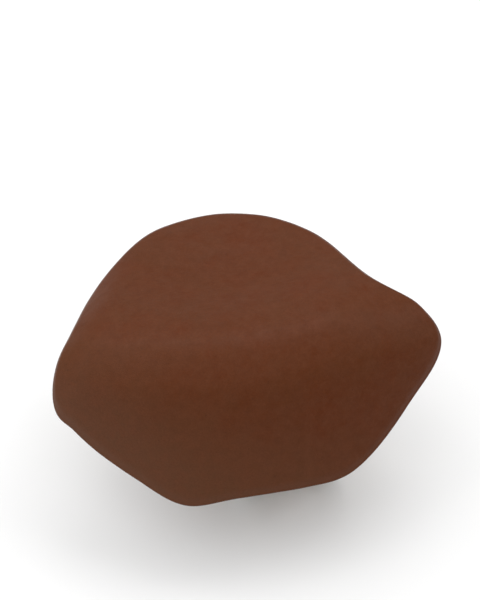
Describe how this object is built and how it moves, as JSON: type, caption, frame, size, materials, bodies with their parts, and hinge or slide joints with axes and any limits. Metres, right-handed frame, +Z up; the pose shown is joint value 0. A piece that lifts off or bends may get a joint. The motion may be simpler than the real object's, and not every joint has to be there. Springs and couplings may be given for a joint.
{
  "type": "violin chin rest",
  "caption": "Side-mounted violin chin rest: carved wooden plate under a padded leather cover, on cork strips, with a clamp whose threaded barrels draw its jaws together.",
  "frame": {"origin": "centre of the upper cork's contact face, on the top edge of the violin", "axes": "+Z up, away from the violin's top plate; +X along the violin's edge towards its end button; +Y inwards over the belly"},
  "size_m": [0.1243, 0.099, 0.0702],
  "materials": {
    "leather": "smooth brown leather, fine grain, satin",
    "suede": "matt tan suede with a short nap",
    "foam": "matt grey closed-cell foam",
    "tape": "black hook and loop tape",
    "wood": "dark stained hardwood, oiled, low sheen",
    "cork": "fine-grained natural cork, matt",
    "nickel": "bright nickel plate with light scratches",
    "steel": "threaded steel, slightly dull"
  },
  "bodies": {
    "root": {"chin_plate": "wood", "upper_cork": "cork", "upper_clamp_bar": "nickel", "upper_stud_left": "steel", "upper_stud_right": "steel", "bar_screw_left": "steel", "bar_screw_right": "steel", "hook_patch_left": "tape", "hook_patch_right": "tape", "hook_patch_far": "tape"},
    "cover": {"leather_cover": "leather", "foam_pad": "foam", "suede_lining": "suede", "loop_patch_left": "tape", "loop_patch_right": "tape", "loop_patch_far": "tape"},
    "barrel_left": {"barrel_left": "nickel"},
    "barrel_right": {"barrel_right": "nickel"},
    "jaw": {"lower_clamp_bar": "nickel", "lower_cork": "cork", "lower_stud_left": "steel", "lower_stud_right": "steel"}
  },
  "joints": [
    {"name": "jaw_slide", "type": "slide", "parent": "root", "child": "jaw", "axis": [0, 0, 1], "range_m": [-0.004, 0.003]},
    {"name": "barrel_left_turn", "type": "hinge", "parent": "root", "child": "barrel_left", "pos_m": [-0.016, -0.0082, -0.019], "axis": [0, 0, 1], "range_deg": [-1030, 772]},
    {"name": "barrel_right_turn", "type": "hinge", "parent": "root", "child": "barrel_right", "pos_m": [0.016, -0.0082, -0.019], "axis": [0, 0, 1], "range_deg": [-1030, 772]},
    {"name": "cover_lift", "type": "slide", "parent": "root", "child": "cover", "axis": [0, 0, 1], "range_m": [0, 0.06]}
  ],
  "couplings": [
    {"joint": "barrel_left_turn", "follows": "jaw_slide", "rad_per_m": 4488},
    {"joint": "barrel_right_turn", "follows": "jaw_slide", "rad_per_m": 4488}
  ]
}
